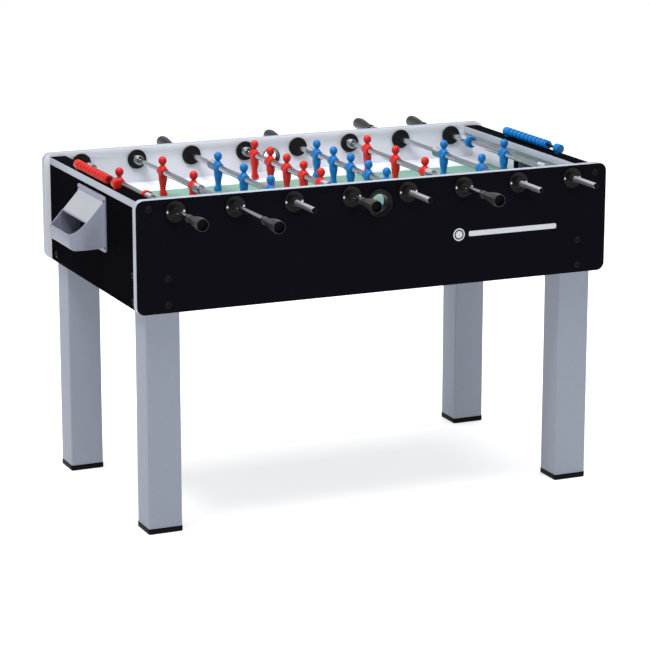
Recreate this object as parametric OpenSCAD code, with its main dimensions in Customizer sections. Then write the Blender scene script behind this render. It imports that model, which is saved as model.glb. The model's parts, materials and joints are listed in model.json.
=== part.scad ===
// Full-size foosball table: a box cabinet on four legs, eight telescopic player rods,
// sliding score counters and a ball-return cup at each end.
// Millimetres. X runs along the table, Y across it, Z up; the origin is on the floor, mid-table.

/* [Cabinet] */
// Length of the side panels
cabinet_l = 1346; // [1300:2:1400]
// Width over the side panels
cabinet_w = 750; // [740:2:780]
// Height of the side panels' top edge above the floor
table_h = 885; // [860:1:920]
// Height of a side panel
panel_h = 295; // [280:1:320]
// Thickness of a side panel
side_t = 23; // [20:1:28]
// Thickness of an end panel
end_t = 16; // [14:1:20]
// Corner radius of a side panel
corner_r = 22; // [15:1:40]
// How far a side panel stands out past the end panel
end_inset = 16; // [12:1:18]
// Depth of the ledge that carries the score counter
ledge_d = 46; // [40:1:47]
// Thickness of the ledge
ledge_t = 20; // [16:1:22]
// How far the ledge lies below the panels' top edge
ledge_drop = 9; // [4:1:10]

/* [Playfield] */
// Depth of the rod axes below the panels' top edge
rod_drop = 33; // [31:1:36]
// Depth of the playing surface below the rod axes
field_drop = 73; // [72:1:78]
// Thickness of the playfield board
field_t = 10; // [8:1:14]
// Width of the sloping strip along each side
ramp_w = 104; // [60:2:110]
// Rise of the sloping strip at the wall
ramp_rise = 8; // [4:0.5:8]
// Width of a goal
goal_w = 190; // [170:2:190]
// Height of a goal above the playing surface
goal_h = 46; // [40:1:46]

/* [Rods] */
// Distance between neighbouring rods
rod_pitch = 162; // [158:1:163]
// Radius of the sliding tube
tube_r = 8; // [7.5:0.1:8.2]
// Radius of the fixed guide bar inside the tube
bar_r = 6; // [5:0.1:6.2]
// Length of a spring bumper that slides with a rod
bumper_l = 34; // [28:1:36]
// Length of a spring bumper that stays at a bearing
wall_bumper_l = 22; // [18:1:30]
// Radius of a spring bumper
bumper_r = 13; // [13:0.5:16]
// Length of a handle
handle_l = 100; // [94:1:110]
// Largest radius of a handle
handle_r = 17; // [16:0.5:18]
// How far the covered bar ends stand out of the near side panel
near_stub_l = 133; // [100:1:150]
// How far the covered bar ends stand out of the far side panel
far_stub_l = 72; // [60:1:80]

/* [Players] */
// Height of a player's head above the rod axis
head_up = 42; // [40:0.5:43]
// Depth of a player's foot below the rod axis
foot_down = 67; // [64:0.5:68]
// Width of a player's shoulders
shoulder_w = 35; // [32:1:37]

/* [Legs] */
// Width of a leg along the table
leg_w = 92; // [80:1:100]
// Width of a leg across the table
leg_d = 84; // [80:1:96]
// Wall of a leg's hollow section
leg_wall = 2; // [1.5:0.5:3]
// Height of a foot cap
foot_cap_h = 15; // [10:1:20]

/* [Hidden] */
$fn = 64;
fit_gap = 0.06;          // running fit of a tube or bar in its hole, on the radius
guide_gap = 0.08;        // running fit of a tube on its guide bar, on the radius
snug_gap = 0.05;         // room between two pieces that are fixed to each other
rods = 8;
men_on_rod = [1, 2, 3, 5, 5, 3, 2, 1];
man_pitch = [0, 232, 186, 115, 115, 186, 232, 0];
rod_rest = [39, 30, -38, 49, -15, 42, -48, 15];     // where each team line stands at rest
near_player = [true, true, false, true, false, true, false, false];   // red rods, handles near
red = [0.84, 0.15, 0.13];
blue = [0.02, 0.42, 0.80];
black = [0.08, 0.08, 0.09];
edge_grey = [0.76, 0.79, 0.83];
steel = [0.75, 0.76, 0.78];

half_l = cabinet_l / 2;
half_w = cabinet_w / 2;
wall_y = half_w - side_t;                 // inner face of a side panel
end_out_x = half_l - end_inset;           // outer face of an end panel
end_in_x = end_out_x - end_t;             // inner face of an end panel
panel_bottom = table_h - panel_h;
ledge_top = table_h - ledge_drop;
ledge_bottom = ledge_top - ledge_t;
rod_z = table_h - rod_drop;
field_z = rod_z - field_drop;

// Bearings
flange_r = 27;
flange_t = 6;
barrel_r = 15;
hub_r = 11.5;
hub_l = 20;
hub_end_y = half_w + hub_l;

// Screws of the bearings and the ball cups
screw_pitch_r = 22.5;                     // from the rod axis
screw_head_r = 3.3;
screw_head_t = 1.6;
screw_r = 1.7;
screw_l = 14;
screw_sink = 3;                           // depth of the recess in a bearing's flange

// Ball entries
entry_z = table_h - 57;
entry_r = 37;
entry_inner_r = 26.5;
entry_hole_r = 23.6;
entry_mouth_r = 31;
entry_barrel_r = 25.3;
entry_flange_t = 5;
entry_lip_t = 1.5;

// Ball cups
cup_w = 196;
cup_wall = 3;
cup_flange_w = 218;
cup_flange_t = 4;
cup_top = table_h - 38;
cup_bottom = cup_top - 148;
cup_floor = cup_top - 134;                // inside, at the flange
cup_port_top = cup_top - 22;              // top of the flange's opening
cup_face = end_out_x + cup_flange_t;
cup_reach = 90;                           // how far a cup stands out of its flange

// Rod layout, measured from the middle of the men along the rod
man_half = shoulder_w / 2;
bumper_start = wall_y - flange_t;         // inner face of a bearing's flange
stop_gap = 0.5;                           // left at a bumper at the end of a rod's travel
ring_at = 207;                            // keeper's stop ring, on the handle side
ring_t = 14;
ring_r = 16.5;
keeper_spring_at = 212;                   // keeper's second spring, on the other side
handle_gap = 9;                           // left between handle and bearing at full travel
handle_grip = 74;                         // how far the tube goes into the handle
guide_overlap = 60;                       // bar left inside the tube when it is pulled out
handle_bore = tube_r + snug_gap;

function is_keeper(k) = men_on_rod[k] == 1;
function side(k) = near_player[k] ? -1 : 1;     // the side that the handle is on
function rod_x(k) = (k - (rods - 1) / 2) * rod_pitch;
function outer_man(k) = (men_on_rod[k] - 1) / 2 * man_pitch[k];
function rider_start(k) = is_keeper(k) ? ring_at + ring_t / 2 : outer_man(k) + man_half;
function tube_open_end(k) = is_keeper(k) ? keeper_spring_at + bumper_l : outer_man(k) + man_half;
function pull(k) = bumper_start - rider_start(k) - bumper_l - stop_gap;      // travel to the handle's side
function push(k) = bumper_start - tube_open_end(k) - (is_keeper(k) ? 0 : wall_bumper_l) - stop_gap;
function handle_start(k) = hub_end_y + handle_gap + push(k);
function bar_tip(k) = wall_y - tube_open_end(k) + pull(k) + guide_overlap;
function stub_end(k) = half_w + (side(k) > 0 ? near_stub_l : far_stub_l);
function man_places(k) = [for (i = [0:men_on_rod[k] - 1]) i * man_pitch[k] - outer_man(k)];
function rod_name(k, piece) = str("rod_", k + 1, "_", piece);

// Score counters
beads = 10;
bead_pitch = 22.6;
bead_gap = 0.2;
bead_r = 12.3;
bead_core_r = 9.2;
score_bar_r = 4;
post_l = 24;
post_gap = 274;                           // clear length of a score bar
score_x = half_l - 28;
score_y = -9;                             // middle of a score bar
score_z = ledge_top + bead_r + 1.5;

// Bolts through the panels
bolt_r = 4;
bolt_reach = 8;                           // past the inside of a leg's wall
ledge_bolt_r = 3;
ledge_bolt_l = 25;                        // in the ledge's end
bolt_cap_r = 9.5;
bolt_cap_t = 3;
side_bolt_x = half_l - 84;
side_bolt_z = [panel_bottom + 22, panel_bottom + 91];
ledge_bolt_x = half_l - 35;
ledge_bolt_z = table_h - 23;
end_bolt_y = wall_y - 44;
leg_top = field_z - field_t - 1;
bottom_z = panel_bottom + 8;
bottom_t = 8;

// ---- helpers ----

// A cylinder along Y from y0 to y1, in either order
module y_rod(y0, y1, r) {
    translate([0, min(y0, y1), 0])
        rotate([-90, 0, 0])
            cylinder(r = r, h = abs(y1 - y0));
}

// A tube along Y
module y_tube(y0, y1, r_out, r_in) {
    difference() {
        y_rod(y0, y1, r_out);
        y_rod(min(y0, y1) - 1, max(y0, y1) + 1, r_in);
    }
}

// Its children at every rod's axis
module at_rod(k) {
    translate([rod_x(k), 0, rod_z])
        children();
}

// Its children at a rod's axis, moved to the middle of its men
module on_rod(k) {
    translate([rod_x(k), rod_rest[k], rod_z])
        children();
}

// A rectangle with rounded corners, centred
module rounded_rect(w, h, r) {
    union() {
        square([w - 2 * r, h], center = true);
        square([w, h - 2 * r], center = true);
        for (sx = [-1, 1], sy = [-1, 1])
            translate([sx * (w / 2 - r), sy * (h / 2 - r)])
                circle(r = r);
    }
}

// ---- cabinet ----

// A side panel with its bearing, ball-entry and bolt holes; s is -1 for near, 1 for far
module side_panel(s) {
    difference() {
        translate([0, s * (half_w - side_t / 2), panel_bottom + panel_h / 2])
            rotate([90, 0, 0])
                linear_extrude(height = side_t, center = true)
                    rounded_rect(cabinet_l, panel_h, corner_r);
        for (k = [0:rods - 1])
            at_rod(k)
                y_rod(s * (wall_y - 1), s * (half_w + 1), barrel_r + snug_gap);
        translate([0, 0, entry_z])
            y_rod(s * (wall_y - 1), s * (half_w + 1), entry_barrel_r + snug_gap);
        bearing_screw_places(s)
            screw_hole();
        side_bolts(s, snug_gap);
    }
}

// The shanks of the bolts through one side panel, into the legs and the ledges
module side_bolts(s, gap) {
    for (sx = [-1, 1], z = side_bolt_z)
        translate([sx * side_bolt_x, 0, z])
            y_rod(s * (wall_y - leg_wall - bolt_reach), s * (half_w + 0.5), bolt_r + gap);
    for (sx = [-1, 1])
        translate([sx * ledge_bolt_x, 0, ledge_bolt_z])
            y_rod(s * (wall_y - ledge_bolt_l), s * (half_w + 0.5), ledge_bolt_r + gap);
}

// An end panel with its goal; s is -1 for left, 1 for right
module end_panel(s) {
    color(black)
        difference() {
            translate([s * (end_in_x + end_t / 2), 0, (panel_bottom + ledge_bottom) / 2])
                cube([end_t, 2 * wall_y, ledge_bottom - panel_bottom], center = true);
            translate([s * (end_in_x + end_t / 2), 0, field_z + goal_h / 2])
                cube([end_t + 2, goal_w, goal_h], center = true);
            end_bolts(s, snug_gap);
            cup_screw_places(s)
                screw_hole();
        }
}

// The shanks of the bolts through one end panel, into the legs
module end_bolts(s, gap) {
    for (sy = [-1, 1], z = side_bolt_z)
        translate([s * (end_in_x - leg_wall - bolt_reach), sy * end_bolt_y, z])
            rotate([0, s * 90, 0])
                cylinder(r = bolt_r + gap, h = leg_wall + bolt_reach + end_t + 0.5);
}

module end_ledges() {
    color(black)
        difference() {
            for (s = [-1, 1])
                translate([s * (end_out_x - ledge_d / 2), 0, ledge_bottom + ledge_t / 2])
                    cube([ledge_d, 2 * wall_y, ledge_t], center = true);
            for (s = [-1, 1])
                side_bolts(s, snug_gap);
        }
}

module playfield() {
    color([0.50, 0.66, 0.60])
        translate([0, 0, field_z - field_t / 2])
            cube([2 * end_in_x, 2 * wall_y, field_t], center = true);
}

// A strip that slopes up to each side wall
module side_ramps() {
    edge_t = 0.6;
    color([0.93, 0.94, 0.96])
        for (s = [-1, 1])
            translate([0, 0, field_z])
                rotate([90, 0, 90])
                    linear_extrude(height = 2 * end_in_x, center = true)
                        polygon([
                            [s * wall_y, 0],
                            [s * wall_y, ramp_rise],
                            [s * (wall_y - ramp_w), edge_t],
                            [s * (wall_y - ramp_w), 0]
                        ]);
}

// The cabinet's floor, notched round the legs
module bottom_panel() {
    color(black)
        difference() {
            translate([0, 0, bottom_z + bottom_t / 2])
                cube([2 * end_in_x, 2 * wall_y, bottom_t], center = true);
            for (sx = [-1, 1], sy = [-1, 1])
                translate([sx * end_in_x, sy * wall_y, bottom_z])
                    cube([2 * leg_w + 2, 2 * leg_d + 2, 3 * bottom_t], center = true);
        }
}

// ---- legs ----

// One hollow rectangular leg in the corner given by sx and sy
module leg(sx, sy) {
    leg_h = leg_top - foot_cap_h;
    difference() {
        translate([sx * (end_in_x - leg_w / 2), sy * (wall_y - leg_d / 2), foot_cap_h + leg_h / 2])
            difference() {
                cube([leg_w, leg_d, leg_h], center = true);
                cube([leg_w - 2 * leg_wall, leg_d - 2 * leg_wall, leg_h + 2], center = true);
            }
        side_bolts(sy, snug_gap);
        end_bolts(sx, snug_gap);
    }
}

module legs(sx) {
    color([0.62, 0.64, 0.68])
        for (sy = [-1, 1])
            leg(sx, sy);
}

module leg_feet() {
    lip = 1.5;
    plug_h = 12;
    play = 0.4;
    color(black)
        for (sx = [-1, 1], sy = [-1, 1])
            translate([sx * (end_in_x - leg_w / 2), sy * (wall_y - leg_d / 2), 0]) {
                linear_extrude(height = foot_cap_h)
                    rounded_rect(leg_w + 2 * lip, leg_d + 2 * lip, 3);
                translate([0, 0, foot_cap_h + plug_h / 2 - 0.5])
                    cube([leg_w - 2 * leg_wall - play, leg_d - 2 * leg_wall - play, plug_h + 1],
                         center = true);
            }
}

// ---- bearings and bolts ----

// The radius of the hole through rod k's bearing on side s
function bearing_bore(k, s) = (s == side(k) ? tube_r : bar_r) + fit_gap;

// Flanged barrel with a hub, pushed in from outside
module outer_bearings() {
    color(black)
        for (k = [0:rods - 1], s = [-1, 1])
            at_rod(k)
                difference() {
                    union() {
                        y_rod(s * (half_w - side_t / 2), s * (half_w + 1), barrel_r);
                        y_rod(s * half_w, s * (half_w + flange_t), flange_r);
                        y_rod(s * half_w, s * hub_end_y, hub_r);
                    }
                    y_rod(s * wall_y, s * (hub_end_y + 1), bearing_bore(k, s));
                    screw_pair(s)
                        screw_hole();
                }
}

// Flanged ring that closes the hole from inside
module inner_bearings() {
    color(black)
        for (k = [0:rods - 1], s = [-1, 1])
            at_rod(k)
                difference() {
                    union() {
                        y_rod(s * (half_w - side_t / 2), s * (wall_y - 1), barrel_r);
                        y_rod(s * wall_y, s * (wall_y - flange_t), flange_r);
                    }
                    y_rod(s * (wall_y - flange_t - 1), s * half_w, bearing_bore(k, s));
                }
}

// A screw pointing down -Z, with the underside of its head at the origin
module screw() {
    cylinder(r = screw_head_r, h = screw_head_t);
    translate([0, 0, -screw_l])
        cylinder(r = screw_r, h = screw_l + 0.1);
}

// The hole for a screw, with room for its head
module screw_hole() {
    cylinder(r = screw_head_r + snug_gap, h = hub_l);
    translate([0, 0, -screw_l])
        cylinder(r = screw_r + snug_gap, h = screw_l + 1);
}

// Its children at the two screws of a bearing whose axis is here
module screw_pair(s) {
    for (sx = [-1, 1])
        translate([sx * screw_pitch_r, s * (half_w + flange_t - screw_sink), 0])
            rotate([s * -90, 0, 0])
                children();
}

// Its children at every bearing screw of one side panel
module bearing_screw_places(s) {
    for (k = [0:rods - 1])
        at_rod(k)
            screw_pair(s)
                children();
}

// Its children at the four screws of one ball cup
module cup_screw_places(s) {
    inset = 12;
    for (sy = [-1, 1], z = [cup_bottom + inset, cup_top - inset])
        translate([s * cup_face, sy * (cup_w + cup_flange_w) / 4, z])
            rotate([0, s * 90, 0])
                children();
}

module fixing_screws() {
    color(steel)
        for (s = [-1, 1]) {
            bearing_screw_places(s)
                screw();
            cup_screw_places(s)
                screw();
        }
}

// The capped bolts that hold the panels to the legs and the ledges
module cabinet_bolts() {
    side_places = concat([for (z = side_bolt_z) [side_bolt_x, z]], [[ledge_bolt_x, ledge_bolt_z]]);
    color(black)
        for (s = [-1, 1]) {
            side_bolts(s, 0);
            end_bolts(s, 0);
            for (sx = [-1, 1], place = side_places)
                translate([sx * place[0], 0, place[1]])
                    y_rod(s * half_w, s * (half_w + bolt_cap_t), bolt_cap_r);
            for (sy = [-1, 1], z = side_bolt_z)
                translate([s * end_out_x, sy * end_bolt_y, z])
                    rotate([0, s * 90, 0])
                        cylinder(r = bolt_cap_r, h = bolt_cap_t);
        }
}

// ---- guide bars ----

// The fixed bar that each tube slides on, held in the bearing opposite the handle
module guide_bars() {
    color(steel)
        for (k = [0:rods - 1])
            at_rod(k)
                y_rod(-side(k) * (stub_end(k) - 10), -side(k) * (wall_y - bar_tip(k)), bar_r);
}

// The tube that covers a guide bar outside the cabinet
module bar_sleeves() {
    color(steel)
        for (k = [0:rods - 1])
            at_rod(k)
                y_tube(-side(k) * hub_end_y, -side(k) * (stub_end(k) - 2), 7.5, bar_r + snug_gap);
}

module sleeve_plugs() {
    color(black)
        for (k = [0:rods - 1])
            at_rod(k) {
                y_rod(-side(k) * (stub_end(k) - 2), -side(k) * stub_end(k), 7.5);
                y_rod(-side(k) * (stub_end(k) - 9), -side(k) * (stub_end(k) - 1), bar_r);
            }
}

// The springs that stay at the bearings opposite the handles
module wall_bumpers() {
    color(steel)
        for (k = [1:rods - 2])
            at_rod(k)
                y_tube(-side(k) * bumper_start, -side(k) * (bumper_start - wall_bumper_l),
                       bumper_r, bar_r + snug_gap);
}

// ---- ball entries, cups and score counters ----

// In each side panel, a funnel from outside and a flanged ring from inside
module ball_entries() {
    half_t = side_t / 2;
    face = half_t + entry_flange_t;
    lip = half_t + entry_lip_t;
    funnel = [[entry_hole_r, 0], [entry_barrel_r, 0], [entry_barrel_r, half_t], [entry_r, half_t],
              [entry_r, face], [entry_mouth_r, face], [entry_hole_r, half_t + 0.5]];
    ring = [[entry_hole_r, 0.1], [entry_barrel_r, 0.1], [entry_barrel_r, half_t], [entry_inner_r, half_t],
            [entry_inner_r, lip], [entry_hole_r, lip]];
    color(black)
        for (s = [-1, 1])
            translate([0, s * (half_w - half_t), entry_z]) {
                rotate([s * -90, 0, 0])
                    rotate_extrude()
                        polygon(funnel);
                rotate([s * 90, 0, 0])
                    rotate_extrude()
                        polygon(ring);
            }
}

// A ball cup: a flange round the goal, a sloping cover and an open tray; s is -1 for left
module ball_cup(s) {
    outer = [[0, -15], [48, -68], [62, -83], [76, -94], [90, -101], [87, -131], [80, -140], [0, -137]];
    inner = [[-1, -18.4], [45.8, -70], [87, -95], [84, -129.9], [78.6, -137], [-1, -134]];
    mouth = [[44.8, -71.2], [58, -57], [87, -75], [87, -100], [70, -120]];
    inside_w = cup_w - 2 * cup_wall;
    port_h = cup_port_top - cup_floor;
    color([0.60, 0.62, 0.66])
        mirror([s < 0 ? 1 : 0, 0, 0])
            difference() {
                union() {
                    translate([end_out_x + cup_flange_t / 2, 0, (cup_top + cup_bottom) / 2])
                        rotate([90, 0, 90])
                            linear_extrude(height = cup_flange_t, center = true)
                                rounded_rect(cup_flange_w, cup_top - cup_bottom, 10);
                    intersection() {
                        cup_profile(outer, cup_w);
                        cup_plan(cup_reach, cup_w);
                    }
                }
                intersection() {
                    union() {
                        cup_profile(inner, inside_w);
                        cup_profile(mouth, inside_w);
                    }
                    cup_plan(cup_reach - cup_wall, inside_w);
                }
                translate([cup_face - cup_flange_t / 2, 0, cup_floor + port_h / 2])
                    cube([cup_flange_t + 2, inside_w, port_h], center = true);
                cup_screw_places(1)
                    screw_hole();
            }
}

// A cup's outline, measured out from its flange's face and down from its top, drawn out to a width
module cup_profile(outline, w) {
    translate([cup_face, 0, cup_top])
        rotate([90, 0, 0])
            linear_extrude(height = w, center = true)
                polygon(outline);
}

// A cup's outline seen from above, taller than the cup: its sides curve in towards the front
module cup_plan(reach, w) {
    // Each point's distance from the front and from the side
    bend = [[-42, 0], [-28, 2.5], [-16, 8], [-6, 15], [-1.5, 19], [0, 23]];
    half = [for (point = bend) [reach + point[0], w / 2 - point[1]]];
    other = [for (i = [len(bend) - 1:-1:0]) [half[i][0], -half[i][1]]];
    translate([cup_face, 0, cup_bottom - 10])
        linear_extrude(height = cup_top - cup_bottom + 20)
            polygon(concat([[-40, w / 2]], half, other, [[-40, -w / 2]]));
}

// A bar between two posts; s is -1 for the red counter on the left
module score_rail(s) {
    post_mid = (post_gap + post_l) / 2;
    translate([s * score_x, score_y, score_z])
        for (sy = [-1, 1]) {
            color(s < 0 ? red : blue) {
                translate([0, sy * post_mid, 0])
                    y_rod(-post_l / 2, post_l / 2, bead_r);
                translate([0, sy * post_mid, -(score_z - ledge_top) / 2])
                    cube([14, post_l - 4, score_z - ledge_top], center = true);
            }
            color(steel)
                y_rod(0, sy * post_gap / 2, score_bar_r);
        }
}

// The beads that slide on a score bar, all at its far end
module score_beads(s) {
    rim = 5;
    bead_l = bead_pitch - bead_gap;
    color(s < 0 ? red : blue)
        translate([s * score_x, score_y + post_gap / 2 - 1, score_z])
            for (i = [1:beads])
                translate([0, -i * bead_pitch, 0])
                    difference() {
                        union() {
                            y_rod(0, bead_l, bead_core_r);
                            y_rod(0, rim, bead_r);
                            y_rod(bead_l - rim, bead_l, bead_r);
                        }
                        y_rod(-1, bead_l + 1, score_bar_r + 0.3);
                    }
}

// ---- rods ----

module rod_tube(k) {
    color(steel)
        on_rod(k)
            y_tube(-side(k) * tube_open_end(k), side(k) * (handle_start(k) + handle_grip),
                   tube_r, bar_r + guide_gap);
}

// One player on the rod axis, facing +X: a solid from its front and side outlines
module man() {
    front = [[-8, 17], [-man_half, 9], [-man_half, -4], [-13, -20], [-12.5, -34], [-8.5, -50],
             [-10, -52], [-10, -foot_down], [10, -foot_down], [10, -52], [8.5, -50], [12.5, -34],
             [13, -20], [man_half, -4], [man_half, 9], [8, 17]];
    profile = [[-7, 17], [-12, 8], [-12, -12], [-10.5, -28], [-7.5, -48], [-9, -54],
               [-9, -foot_down], [10.5, -foot_down], [11, -58], [8, -50], [7.5, -40], [10, -24],
               [12.5, -8], [12.5, 8], [7, 17]];
    difference() {
        union() {
            intersection() {
                rotate([90, 0, 90])
                    linear_extrude(height = 60, center = true)
                        polygon(front);
                rotate([90, 0, 0])
                    linear_extrude(height = 60, center = true)
                        polygon(profile);
            }
            rotate_extrude()
                polygon([[0, 14], [6, 14], [6, 19], [9.5, 23], [11, 29], [9.5, 36], [6, 40.5], [0, head_up]]);
        }
        y_rod(-shoulder_w, shoulder_w, tube_r + snug_gap);
    }
}

module rod_men(k) {
    color(side(k) < 0 ? red : blue)
        on_rod(k)
            for (y = man_places(k))
                translate([0, y, 0])
                    mirror([side(k) < 0 ? 0 : 1, 0, 0])
                        man();
}

// A turned grip: collar, waist and a body that widens to a hollow end, bored for the tube
module rod_handle(k) {
    outline = [[0, 0], [10.3, 0], [10.3, 12], [9.2, 15], [9.4, 21], [12, 38], [14.8, 60], [handle_r, 82],
               [handle_r, 94], [16, handle_l], [13.8, handle_l], [11.5, 90], [0, 90]];
    color(black)
        on_rod(k)
            translate([0, side(k) * handle_start(k), 0])
                rotate([side(k) * -90, 0, 0])
                    difference() {
                        rotate_extrude()
                            polygon(outline);
                        translate([0, 0, -1])
                            cylinder(r = handle_bore, h = handle_grip + 1);
                    }
}

// The spring between the men and the bearing on the handle side; a keeper's rod has a second one
module rod_bumpers(k) {
    color(steel)
        on_rod(k) {
            y_tube(side(k) * (rider_start(k) + 0.3), side(k) * (rider_start(k) + 0.3 + bumper_l),
                   bumper_r, tube_r + 0.5);
            if (is_keeper(k))
                y_tube(-side(k) * keeper_spring_at, -side(k) * (keeper_spring_at + bumper_l),
                       bumper_r, tube_r + 0.5);
        }
}

module rod_stop_ring(k) {
    color(side(k) < 0 ? red : blue)
        on_rod(k)
            y_tube(side(k) * (ring_at - ring_t / 2), side(k) * (ring_at + ring_t / 2),
                   ring_r, tube_r + snug_gap);
}

// ---- output ----

color(black) side_panel(-1);  // near_side_panel
color(edge_grey) side_panel(1);  // far_side_panel
end_panel(-1);  // left_end_panel
end_panel(1);  // right_end_panel
end_ledges();
playfield();
side_ramps();
bottom_panel();
legs(-1);  // left_legs
legs(1);  // right_legs
leg_feet();
outer_bearings();
inner_bearings();
fixing_screws();
cabinet_bolts();
guide_bars();
bar_sleeves();
sleeve_plugs();
wall_bumpers();
ball_entries();
ball_cup(-1);  // left_ball_cup
ball_cup(1);  // right_ball_cup
score_rail(-1);  // left_score_rail
score_rail(1);  // right_score_rail
score_beads(-1);  // left_score_beads
score_beads(1);  // right_score_beads
rod_stop_ring(0);  // rod_1_stop_ring
rod_stop_ring(rods - 1);  // rod_8_stop_ring
for (k = [0:rods - 1]) {
    rod_tube(k);
    rod_men(k);
    rod_handle(k);
    rod_bumpers(k);
}
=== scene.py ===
# The looks of the foosball table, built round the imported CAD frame. Metres, in the CAD's frame.
import json
import math

import bmesh
import bpy
from mathutils import Matrix, Vector

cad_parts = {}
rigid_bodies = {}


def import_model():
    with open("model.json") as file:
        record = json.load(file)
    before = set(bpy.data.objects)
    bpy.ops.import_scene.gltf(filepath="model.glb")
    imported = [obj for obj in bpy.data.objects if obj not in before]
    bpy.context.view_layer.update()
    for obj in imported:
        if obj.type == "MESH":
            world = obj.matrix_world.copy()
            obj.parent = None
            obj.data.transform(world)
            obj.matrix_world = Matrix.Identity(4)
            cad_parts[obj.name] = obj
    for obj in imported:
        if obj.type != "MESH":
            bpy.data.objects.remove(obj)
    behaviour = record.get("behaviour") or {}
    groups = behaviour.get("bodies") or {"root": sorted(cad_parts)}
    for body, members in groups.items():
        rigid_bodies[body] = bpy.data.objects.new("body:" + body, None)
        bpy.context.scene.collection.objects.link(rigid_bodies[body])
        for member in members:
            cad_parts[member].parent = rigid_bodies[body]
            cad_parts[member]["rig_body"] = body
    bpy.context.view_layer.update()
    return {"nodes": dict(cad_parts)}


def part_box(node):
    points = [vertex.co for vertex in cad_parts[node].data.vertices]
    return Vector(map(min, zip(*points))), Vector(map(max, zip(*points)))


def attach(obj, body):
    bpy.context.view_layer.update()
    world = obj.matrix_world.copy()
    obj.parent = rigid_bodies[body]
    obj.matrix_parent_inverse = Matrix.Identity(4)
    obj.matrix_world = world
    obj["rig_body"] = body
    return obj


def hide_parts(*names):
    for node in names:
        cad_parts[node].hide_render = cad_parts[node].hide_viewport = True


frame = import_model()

MM = 0.001
TURN = 2 * math.pi
WELD = 0.002 * MM               # vertices closer than this are one

# The view: where the camera stands, which way it looks, and its lens on a 36 mm sensor
CAMERA_AT = (-2.904, -6.5696, 2.1927)
CAMERA_AZIMUTH = -23.93         # degrees
CAMERA_ELEVATION = 13.89
CAMERA_ROLL = 0.05
CAMERA_LENS = 148.6

# The rods, 1 to 8 from left to right
MEN_ON_ROD = [1, 2, 3, 5, 5, 3, 2, 1]
ROD_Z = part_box("rod_1_tube")[0].z + 8 * MM
TUBE_R = 8 * MM
TUBE_BORE = 6.08 * MM
BAR_R = 6 * MM
SLEEVE_R = 7.5 * MM
SNUG = 0.05 * MM                # room between two pieces that are fixed to each other
NEAR_STUB_L = 133 * MM          # how far the covered bar ends stand out of a side panel
FAR_STUB_L = 72 * MM
BEARING_R = 27 * MM
SPRING_R = 13 * MM
SPRING_L = 34 * MM
WALL_SPRING_L = 22 * MM
WIRE_R = 1.5 * MM
MAN_HALF = 17.5 * MM
AMBIENT = 0.45                  # strength of the light from all round
FLOOR_GLOW = 0.6                # and of the light that the floor gives off

WALL_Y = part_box("near_side_panel")[1].y     # inner face of the near side panel, negative
HALF_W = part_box("far_side_panel")[1].y      # outer face of a side panel
END_OUT_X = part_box("right_end_panel")[1].x  # outer face of an end panel
SIDE_T = HALF_W + WALL_Y                    # thickness of a side panel
CUP_FACE = END_OUT_X + 4 * MM               # outer face of a ball cup's flange
HUB_END = HALF_W + 20 * MM                  # where a bearing's hub ends
SCREW_FROM_ROD = 22.5 * MM                  # a bearing's screws, from the rod's axis
SCREW_SEAT = 4.6 * MM                       # and how far out of the panel their heads sit


# ---- places ----

def move(x, y, z):
    return Matrix.Translation((x, y, z))


def along_y(s):
    """Turns local Z to +Y for s = 1, or to -Y for s = -1."""
    return Matrix.Rotation(-s * math.pi / 2, 4, "X")


def along_x(s):
    """Turns local Z to +X for s = 1, or to -X for s = -1."""
    return Matrix.Rotation(s * math.pi / 2, 4, "Y")


def middle(node):
    lo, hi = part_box(node)
    return (lo + hi) / 2


def rod_x(k):
    return middle(f"rod_{k}_tube").x


def handle_side(k):
    """-1 where the handle is at the near side, which is the red team's, or 1 at the far side."""
    return -1 if middle(f"rod_{k}_handle").y < 0 else 1


# ---- outlines ----

def arc(cx, cy, r, start, end, steps):
    """Points on an arc, in degrees."""
    return [(cx + r * math.cos(math.radians(start + (end - start) * i / steps)),
             cy + r * math.sin(math.radians(start + (end - start) * i / steps)))
            for i in range(steps + 1)]


def rounded_rect(w, h, r, steps=8):
    """A rectangle round the origin with rounded corners, anticlockwise."""
    points = []
    for sx, sy, start in ((1, 1, 0), (-1, 1, 90), (-1, -1, 180), (1, -1, 270)):
        points += arc(sx * (w / 2 - r), sy * (h / 2 - r), r, start, start + 90, steps)
    return points


def eased(points, r, closed=False, steps=3):
    """The same outline with its corners rounded off to about radius r."""
    count = len(points)
    out = []
    for i, point in enumerate(points):
        here = Vector(point)
        if not closed and i in (0, count - 1):
            out.append(tuple(here))
            continue
        before, after = Vector(points[i - 1]) - here, Vector(points[(i + 1) % count]) - here
        cut = min(r, before.length * 0.45, after.length * 0.45)
        start, end = here + before.normalized() * cut, here + after.normalized() * cut
        for j in range(steps + 1):
            t = j / steps
            out.append(tuple(start * (1 - t) ** 2 + here * (2 * t * (1 - t)) + end * t ** 2))
    return out


# ---- meshes ----

def ring_faces(bm, a, b, material=0):
    """Quads between two rings of vertices, or triangles where one ring is a single point."""
    count = max(len(a), len(b))
    for i in range(count):
        j = (i + 1) % count
        corners = [a[i % len(a)], a[j % len(a)], b[j % len(b)], b[i % len(b)]]
        face = bm.faces.new(list(dict.fromkeys(corners)))
        face.material_index = material


def lathe(bm, outline, place, segments=48, closed=False, material=0):
    """Turns an outline of (radius, height) points round local Z. A radius of 0 is a point."""
    rings = []
    for r, h in outline:
        steps = segments if r > 0 else 1
        rings.append([bm.verts.new(place @ Vector((r * math.cos(TURN * i / steps),
                                                   r * math.sin(TURN * i / steps), h)))
                      for i in range(steps)])
    for a, b in zip(rings, rings[1:] + (rings[:1] if closed else [])):
        ring_faces(bm, a, b, material)


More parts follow.
